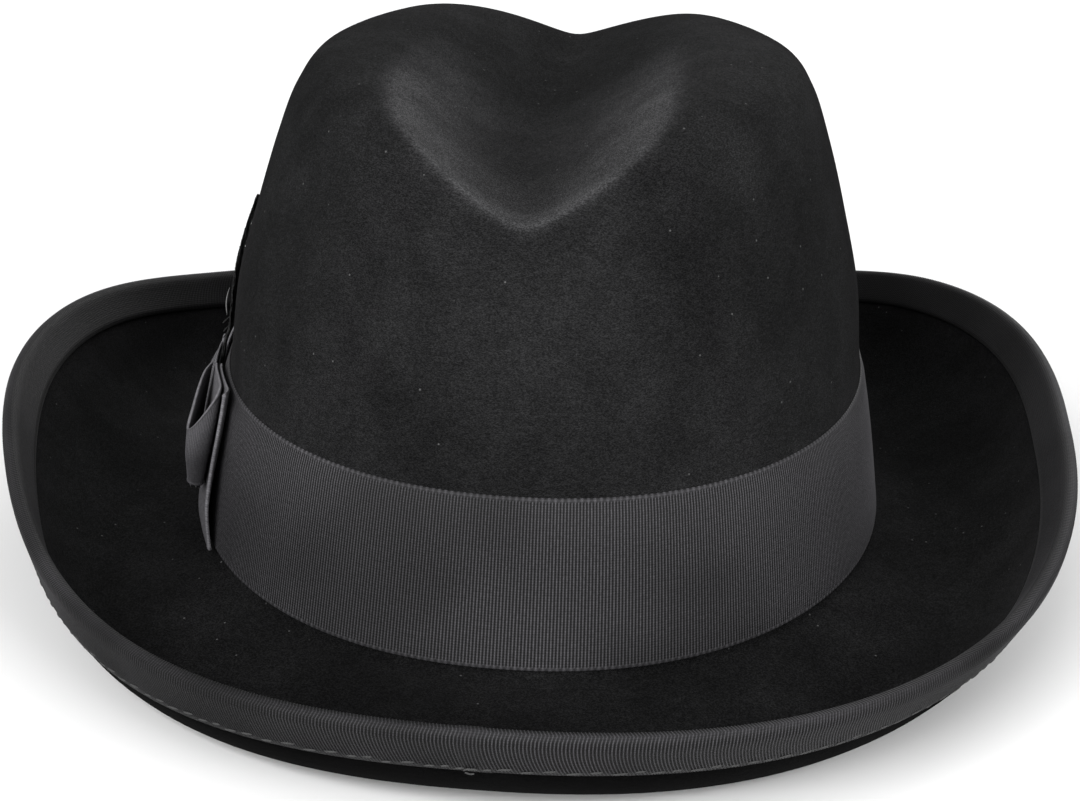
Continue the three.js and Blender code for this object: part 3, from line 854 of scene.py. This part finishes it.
def make_binding():
    """The ribbon folded over the rim: ribs bent like brackets, doubled at the joint at the back."""
    per_rib = BINDING_COLUMNS_PER_RIB
    length = even_angles(rim, 8)[1]
    count = int(length / RIB_PITCH) * per_rib
    angles, _ = even_angles(rim, count)
    width = brim_sizes(angles)[1]
    runs, offsets = binding_profile(GAP + BINDING_THICKNESS, 6, 4)
    inner_runs, inner_offsets = binding_profile(GAP, 1, 2)
    wave = rib_wave(count, per_rib)
    steps = np.concatenate([[0], np.cumsum(np.hypot(np.diff(runs), np.diff(offsets)))])
    near_edge = np.minimum(steps, steps[-1] - steps)
    steps = steps - steps[-1] / 2
    ribs = smooth_step(near_edge / RIB_FADE)
    from_joint = np.abs((angles + math.pi) % (2 * math.pi) - math.pi) * length / (2 * math.pi)
    joint = smooth_step((JOINT_HALF - from_joint) / JOINT_FADE)[None, :]
    normal_turn = np.arctan2(np.gradient(offsets), np.gradient(runs)) + math.pi / 2
    depth = RIB_HEIGHT * (1 - 0.5 * joint)
    lower = depth * (wave[None, :] - 1) * ribs[:, None] + JOINT_STEP * joint
    thin = np.where(near_edge < 0.1, -0.4 * BINDING_THICKNESS, 0)[:, None]
    run = width + runs[:, None] + (lower + thin) * np.cos(normal_turn)[:, None]
    offset = offsets[:, None] + (lower + thin) * np.sin(normal_turn)[:, None]
    turned = angles + rib_lean(steps)[:, None] / length * 2 * math.pi
    outer = brim_point(run - width + brim_sizes(turned)[1], offset, turned)
    inner = brim_point(width + inner_runs[:, None], inner_offsets[:, None], angles)
    rings = np.concatenate([outer, inner[::-1]])
    quiet = np.zeros((len(inner), count))
    # The inner face's ribs are dimmed: painted shade.
    shown = mix(wave[None, :], 0.55, 0.45 * joint) * np.where(steps < 0, INNER_FACE_PAINTED_SHADE, 1.0)[:, None]
    rib_value = np.concatenate([shown, quiet])
    # A painted highlight along the binding's fold over the rim.
    fold = np.exp(-((steps / 0.9) ** 2))
    layers = {
        "rib": rib_value,
        "along": np.broadcast_to(np.arange(count) * length / count, rib_value.shape),
        "across": np.repeat(np.concatenate([steps, np.zeros(len(inner))]), count),
        "edge": np.repeat(np.concatenate([0.35 * fold, np.zeros(len(inner))]), count),
    }
    points = rings.reshape(-1, 3)
    faces = face_out(points, grid_faces(len(rings), count, rows_close=True))
    material = ribbon_material("binding_ribbon", *BINDING_SHADES, blotch=BINDING_BLOTCH)
    piece = add_mesh("brim_ribbon", points, faces, material, layers)
    place(piece, "binding_ribbon", "brim_binding")
    make_stitches(length)


class Tubes:
    """Many short tubes gathered into one mesh."""

    def __init__(self):
        self.points = []
        self.faces = []
        self.values = []
        self.count = 0

    def add(self, centres, radii, sides, outward, flatness=1.0, value=0.0):
        """Adds a closed tube round a path; outward is across it and flatness its share of depth."""
        ahead = unit(np.gradient(centres, axis=0))
        aside = unit(np.cross(ahead, outward))
        depth = np.cross(aside, ahead) * flatness
        turn = np.arange(sides) * 2 * math.pi / sides
        cosine, sine = np.cos(turn)[None, :, None], np.sin(turn)[None, :, None]
        offset = cosine * aside[:, None, :] + sine * depth[:, None, :]
        rings = centres[:, None, :] + offset * np.broadcast_to(radii, len(centres))[:, None, None]
        first, last = self.count, self.count + (len(centres) - 1) * sides
        self.points.append(rings.reshape(-1, 3))
        self.faces += [list(face) for face in grid_faces(len(centres), sides) + first]
        self.faces.append([first + side for side in range(sides)][::-1])
        self.faces.append([last + side for side in range(sides)])
        self.values.append(np.full(len(centres) * sides, value))
        self.count += len(centres) * sides

    def mesh(self, name, material, layer=None):
        points = np.vstack(self.points)
        layers = {layer: np.concatenate(self.values)} if layer else None
        return add_mesh(name, points, face_out(points, self.faces), material, layers)


def make_stitches(length):
    """The stitches that hold the binding, just above its lower edge, and their loose ends."""
    tubes = Tubes()
    random = np.random.default_rng(11)
    surface = -(FELT_WALL + GAP + BINDING_THICKNESS)
    share = np.linspace(-0.5, 0.5, 7)
    swell = np.sqrt(np.maximum(1 - (2 * share) ** 2, 0.05))
    turn = 2 * math.pi / length

    def sewn(along, run, offset):
        local = along * turn
        return brim_point(brim_sizes(local)[1] - BINDING_WIDTH + run, offset, local)

    place_on_rim, row = 0.0, 0
    while place_on_rim < length - STITCH_LENGTH:
        size = STITCH_LENGTH * random.uniform(0.7, 1.25)
        along = place_on_rim + size / 2 + share * size
        slant = share * size * 0.12
        run = STITCH_ROW + STITCH_ZIGZAG * (-1) ** row + slant + random.uniform(-0.12, 0.12)
        sunk = random.uniform(-0.02, 0.14)
        centres = sewn(along, run, surface + sunk)
        outward = unit(sewn(along, run, surface - 1) - centres)
        tubes.add(centres, STITCH_RADIUS * swell, 6, outward, 0.6)
        place_on_rim += size + STITCH_GAP * random.uniform(0.6, 1.3)
        row += 1
    for start, drop, bend in LOOSE_ENDS:
        along = start + np.linspace(0, 2.4, 9)
        run = STITCH_ROW - drop + bend * np.sin(np.linspace(0, 2.6, 9)) * 0.5
        centres = sewn(along, run, surface - 0.35)
        outward = unit(sewn(along, run, surface - 1) - centres)
        tubes.add(centres, LOOSE_END_RADIUS, 6, outward)
    piece = tubes.mesh("binding_stitches", thread_material())
    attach(piece, "root")


def bow_point(along, height, out):
    """A point by the bow: along from the knot towards the back, and out from the band's face."""
    along, height, out = np.broadcast_arrays(along, height, out)
    row = row_at_height(BAND_FOOT + height)
    target = -BOW_BACK_OFFSET - along
    low = np.full(row.shape, math.pi)
    high = np.full(row.shape, 2 * math.pi)
    for _ in range(HALVINGS):
        middle = (low + high) / 2
        beyond = crown_point(row, middle)[..., 1] > target
        low = np.where(beyond, middle, low)
        high = np.where(beyond, high, middle)
    angle = (low + high) / 2
    lift = GAP + RIBBON_THICKNESS + out
    return crown_point(row, angle) + crown_normal(row, angle) * lift[..., None]


LAYER = RIBBON_THICKNESS + GAP
LOOP_START = KNOT_WIDTH / 2 + GAP


def height_row(share):
    """The bow's sizes at a share of the ribbon's height."""
    return LOOP_HEIGHT_ROWS.read(share * (len(LOOP_HEIGHT_ROWS.rows) - 1))


def pinch(reached, height_share):
    """How far the knot draws down the upper edge of a ribbon that leaves it."""
    return BOW_PINCH * np.clip(1 - reached, 0, 1) ** 2 * height_share**DROOP_POWER


def loop_path(side, first_layer, puff):
    """The path of a loop of the bow, from the knot out and back: along, out and how far it sinks."""

    def path(share, height_share):
        row = LOOP_ROWS.read(share * (len(LOOP_ROWS.rows) - 1))
        height = height_row(height_share)
        along = LOOP_START + row["along"] * LOOP_LENGTH * height["length"]
        layers = first_layer + row["layer"]
        out = GAP + RIBBON_THICKNESS / 2 + layers * LAYER + row["puff"] * puff * height["puff"]
        droop = np.maximum(row["droop"], 0)
        sunk = LOOP_DROOP * droop * height_share**DROOP_POWER
        reached = np.maximum(row["along"], 0)
        gathered = LOOP_GATHER * smooth_step(reached / GATHER_RUN) * (1 - height_share) ** DROOP_POWER
        return side * along, out, sunk - gathered + pinch(reached, height_share)

    return path


def tail_path(share, height_share):
    """The path of the ribbon's cut end, under the back loop."""
    height = height_row(height_share)
    end = TAIL_LENGTH * height["tail"]
    free = LOOP_LENGTH * height["length"] + RIBBON_THICKNESS
    run = share * end
    beyond = np.clip((run - free) / np.maximum(end - free, RIBBON_THICKNESS), 0, 1)
    flare = TAIL_FLARE * height["flare"] * beyond**FLARE_POWER
    return LOOP_START + run, GAP + RIBBON_THICKNESS / 2 + flare, pinch(run / LOOP_LENGTH, height_share)


def sheet_faces(count, columns):
    """Faces of a closed sheet whose rings go up one face and down the other."""
    quads = [list(face) for face in grid_faces(count, columns)]
    last = (count - 1) * columns
    for j in range(columns // 2 - 1):
        corners = [j, j + 1, columns - 2 - j, columns - 1 - j]
        quads.append(corners[::-1])
        quads.append([last + corner for corner in corners])
    return quads


def add_sheet(name, outer, inner, by_point, material, node):
    """Makes a ribbon of the bow from the points of its outer and its inner face."""
    points = np.concatenate([outer, inner[:, ::-1]], axis=1).reshape(-1, 3)
    layers = {}
    for key, values in by_point.items():
        face = np.broadcast_to(values, outer.shape[:2])
        layers[key] = np.concatenate([face, face[:, ::-1]], axis=1)
    faces = face_out(points, sheet_faces(len(outer), 2 * outer.shape[1]))
    piece = add_mesh(name, points, faces, material, layers)
    place(piece, "bow_ribbon", node)


def make_ribbon(name, path, run_length, material, node, hem=0.0):
    """A ribbed ribbon that follows a path seen from above, with its ribs across it."""
    per_rib = BAND_COLUMNS_PER_RIB
    count = int(run_length / RIB_PITCH) * per_rib
    rows = BOW_ROWS
    share = np.linspace(0.002, 0.998, count)[:, None]
    height_share = (0.5 - 0.5 * np.cos(np.linspace(0, math.pi, rows)))[None, :]
    wave = rib_wave(count, per_rib)[:, None]
    ribs, roll = selvage_profile(height_share * BAND_WIDTH, BAND_WIDTH)
    step = 1e-3
    before, after = path(share - step, height_share), path(share + step, height_share)
    along, out, sunk = path(share, height_share)
    ahead, aside = after[0] - before[0], after[1] - before[1]
    run = np.hypot(ahead, aside)
    from_end = (1 - share) * run_length
    folded = smooth_step((HEM_WIDTH - from_end) / 0.5) * hem
    edge = np.minimum(height_share, 1 - height_share) * BAND_WIDTH
    sunk_ribs = RIB_HEIGHT * (1 - wave) * ribs * (1 - folded)
    thick = BOW_SHEET / 2 - sunk_ribs + BOW_BEAD * roll + folded
    thick = thick * mix(0.5, 1.0, smooth_step(edge / 0.4))
    height = height_share * BAND_WIDTH - sunk
    sheets = []
    for side in (1, -1):
        across = side * thick / run
        sheets.append(bow_point(along - aside * across, height, out + ahead * across))
    by_point = {
        "rib": mix(0.5, wave, ribs),
        "along": share * run_length,
        "across": height_share * BAND_WIDTH,
        # A painted highlight along the ribbon's edges and its folded hem.
        "edge": np.maximum(smooth_step((EDGE_HIGHLIGHT_REACH - edge) / EDGE_HIGHLIGHT_FADE), folded / max(hem, 0.1)),
    }
    add_sheet(name, *sheets, by_point, material, node)


def make_knot(material):
    """The ribbon wrapped over the bow's middle, gathered into three soft pleats."""
    count, rows = KNOT_COLUMNS, KNOT_ROWS
    share = np.linspace(0, 1, count)[:, None]
    height_share = np.linspace(0, 1, rows)[None, :]
    height = mix(-KNOT_OVERHANG, BAND_WIDTH + KNOT_OVERHANG - BOW_PINCH, height_share)
    along = mix(-KNOT_WIDTH / 2, KNOT_WIDTH / 2, share)
    room = FEATHER_THICKNESS + 2 * GAP
    clear = smooth_step((height - (BAND_WIDTH - FEATHER_TUCK - 2 * room)) / room)
    inner = bow_point(along, height, GAP + room * clear)
    wave = rib_wave(rows, BAND_COLUMNS_PER_RIB)[None, :]
    pleats = PLEAT_DEPTH * np.cos(share * 6 * math.pi) * (1 - (2 * share - 1) ** 4)
    across_bulge = 1 - KNOT_TAPER * (2 * share - 1) ** 4
    height_bulge = 1 - KNOT_END_TAPER * (2 * height_share - 1) ** 4
    depth = KNOT_DEPTH * across_bulge * height_bulge + (pleats - PLEAT_DEPTH) * height_bulge
    depth = np.maximum(depth - RIB_HEIGHT * (1 - wave), GAP + room * clear + 0.4)
    outer = bow_point(along, height, depth)
    by_point = {
        "rib": wave,
        "along": height,
        "across": share * KNOT_WIDTH,
        # A painted highlight along the knot's side edges.
        "edge": smooth_step((0.06 - np.minimum(share, 1 - share)) / 0.04),
    }
    add_sheet("knot_ribbon", outer, inner, by_point, material, "bow_knot")


def feather_place(share, aside, out):
    """A point of the feather: a share of its length, aside of its quill, out from the band."""
    run = share * FEATHER_LENGTH
    along = -run * math.sin(FEATHER_LEAN) * share + aside * math.cos(FEATHER_LEAN)
    height = BAND_WIDTH - FEATHER_TUCK + run * np.cos(FEATHER_LEAN * share) + aside * math.sin(FEATHER_LEAN)
    settled = smooth_step((height - BAND_WIDTH) / FEATHER_SETTLE)
    return bow_point(along, height, out - RIBBON_THICKNESS * settled)


def feather_half(share):
    """Half the feather's width at a share of its length."""
    return FEATHER_WIDTH / 2 * FEATHER_ROWS.read(share * (len(FEATHER_ROWS.rows) - 1))["width"]


def make_feather():
    """A quill, a vane on each side that parts into locks, its barbs, three curls and a bare bit."""
    middle = GAP + FEATHER_THICKNESS / 2
    outward = (-1.0, 0.0, 0.0)
    tubes = Tubes()
    shares = np.linspace(0, 0.985, 30)
    tubes.add(feather_place(shares, 0.0, middle), mix(0.55, 0.12, shares), 8, outward)
    random = np.random.default_rng(7)
    step = np.linspace(0, 1, 7)
    for side in (-1, 1):
        for root in np.linspace(0.2, 0.94, FEATHER_BARBS):
            lock = (root * FEATHER_LOCKS + 0.3 * side) % 1
            reach = float(feather_half(root)) * (1 - 0.16 * lock) * random.uniform(0.92, 1.04)
            sweep = 0.1 * (0.6 + 0.3 * lock) * step**0.8
            lift = random.uniform(0.05, 0.55) * (1.1 - root) * step**1.6
            ripple = 0.1 * np.sin(9 * root + 2 * step)
            tip = np.minimum(root + sweep, 1.0)
            centres = feather_place(tip, side * reach * step, middle + lift + ripple)
            tubes.add(centres, mix(0.24, 0.08, step), 4, outward)
    for root, reach, lift in FEATHER_CURLS:
        turn = np.linspace(0, 4.4, 14)
        aside = reach * np.sin(turn * 0.45)
        centres = feather_place(root + 0.02 * np.cos(turn), aside, middle + lift * (1 - np.cos(turn)) / 2)
        tubes.add(centres, 0.14, 5, outward)
    quill = np.linspace(0.0, 1.0, 9)
    centres = feather_place(0.42 + 0.13 * quill, 6.2 - 0.6 * quill, middle + 0.9 + 0.5 * np.sin(quill * 3))
    tubes.add(centres, 0.17 * np.sin(0.35 + 2.5 * quill), 6, outward, value=1.0)
    points, faces = vane_sheets(middle)
    tubes.faces += [[corner + tubes.count for corner in face] for face in faces]
    tubes.points.append(points)
    tubes.values.append(np.zeros(len(points)))
    piece = tubes.mesh("feather_barbs", feather_material(), "quill")
    place(piece, "feather", "feather")


def vane_sheets(middle):
    """A thin closed sheet on each side of the quill, rippled by its locks."""
    points, faces, base = [], [], 0
    share = np.linspace(0.18, 0.97, 80)[:, None]
    across = np.linspace(0, 1, 6)[None, :]
    for side in (-1, 1):
        lock = (share * FEATHER_LOCKS + 0.3 * side) % 1
        reach = feather_half(share) * (0.92 - 0.16 * lock)
        out = middle + 0.16 * np.sin(share * FEATHER_LOCKS * 2 * math.pi) * across
        swept = np.minimum(share + 0.06 * across, 1.0)
        front, back = (feather_place(swept, side * reach * across, out + d) for d in (0.12, -0.12))
        loop = np.concatenate([front, back[:, ::-1]], axis=1)
        sheet = sheet_faces(len(share), 2 * across.shape[1])
        sheet = face_out(loop.reshape(-1, 3), sheet)
        faces += [[corner + base for corner in face] for face in sheet]
        points.append(loop.reshape(-1, 3))
        base += points[-1].shape[0]
    return np.vstack(points), faces


def add_area_light(name, location, size, power):
    """A soft rectangular light that faces the hat."""
    light = bpy.data.lights.new(name, "AREA")
    light.shape = "RECTANGLE"
    light.size, light.size_y = size
    light.energy = power
    lamp = bpy.data.objects.new(name, light)
    bpy.context.scene.collection.objects.link(lamp)
    back = unit(np.array(location) - np.array(LIGHT_AIM))
    right = unit(np.cross((0, 0, 1), back))
    up = np.cross(back, right)
    lamp.matrix_world = matrix_of(right, up, back, location)


def matrix_of(right, up, back, location):
    """The placing of an object from its three axes and its location."""
    rows = [[right[k], up[k], back[k], location[k]] for k in range(3)]
    return Matrix(rows + [[0, 0, 0, 1]])


def make_floor():
    """A plain pale floor."""
    mesh = bpy.data.meshes.new("floor")
    half = FLOOR_HALF
    corners = [(-half, -half, 0), (half, -half, 0), (half, half, 0), (-half, half, 0)]
    mesh.from_pydata(corners, [], [(0, 1, 2, 3)])
    floor = bpy.data.objects.new("floor", mesh)
    bpy.context.scene.collection.objects.link(floor)
    mesh.materials.append(Nodes("floor").surface(Base_Color=shade_of(FLOOR_SHADE), Roughness=0.9))


def make_lights():
    """Even light from all round, and the soft lights of a studio."""
    world = bpy.data.worlds.new("studio")
    bpy.context.scene.world = world
    world.use_nodes = True
    background = world.node_tree.nodes["Background"]
    background.inputs["Color"].default_value = shade_of(1.0)
    background.inputs["Strength"].default_value = WORLD_STRENGTH
    for name, location, size, power in LIGHTS:
        add_area_light(name, location, size, power)


def make_camera():
    """The camera at the photograph's angle."""
    data = bpy.data.cameras.new("camera")
    data.sensor_fit = "HORIZONTAL"
    data.sensor_width = SENSOR_WIDTH
    data.lens = FOCAL_PIXELS / PHOTO_WIDTH * SENSOR_WIDTH
    data.clip_start = 0.01
    camera = bpy.data.objects.new("camera", data)
    bpy.context.scene.collection.objects.link(camera)
    ca, sa = math.cos(CAMERA_TURN), math.sin(CAMERA_TURN)
    ce, se = math.cos(CAMERA_RISE), math.sin(CAMERA_RISE)
    back = np.array([sa * ce, -ca * ce, se])
    right = np.array([ca, sa, 0.0])
    up = np.cross(back, right)
    aim = CAMERA_AIM[0] * right + CAMERA_AIM[1] * up + SHIFT
    eye = (aim + back * CAMERA_DISTANCE) * MM
    cr, sr = math.cos(CAMERA_ROLL), math.sin(CAMERA_ROLL)
    camera.matrix_world = matrix_of(cr * right + sr * up, cr * up - sr * right, back, eye)
    bpy.context.scene.camera = camera
    bpy.context.scene.view_settings.view_transform = "Standard"


make_floor()
make_lights()
make_camera()
make_felt()
make_band()
make_binding()
# The bow's ribbon is painted paler than the band's: painted light.
bow_ribbon = ribbon_material("bow_ribbon", *BOW_PAINTED_LIGHT_SHADES)
back_path, front_path = loop_path(1, 1, LOOP_PUFF), loop_path(-1, 0, FRONT_PUFF)
make_ribbon("back_loop_ribbon", back_path, LOOP_RIBBON, bow_ribbon, "bow_back_loop")
make_ribbon("front_loop_ribbon", front_path, LOOP_RIBBON, bow_ribbon, "bow_front_loop")
make_ribbon("tail_ribbon", tail_path, TAIL_RIBBON, bow_ribbon, "bow_tail", hem=TAIL_HEM)
make_knot(bow_ribbon)
make_feather()
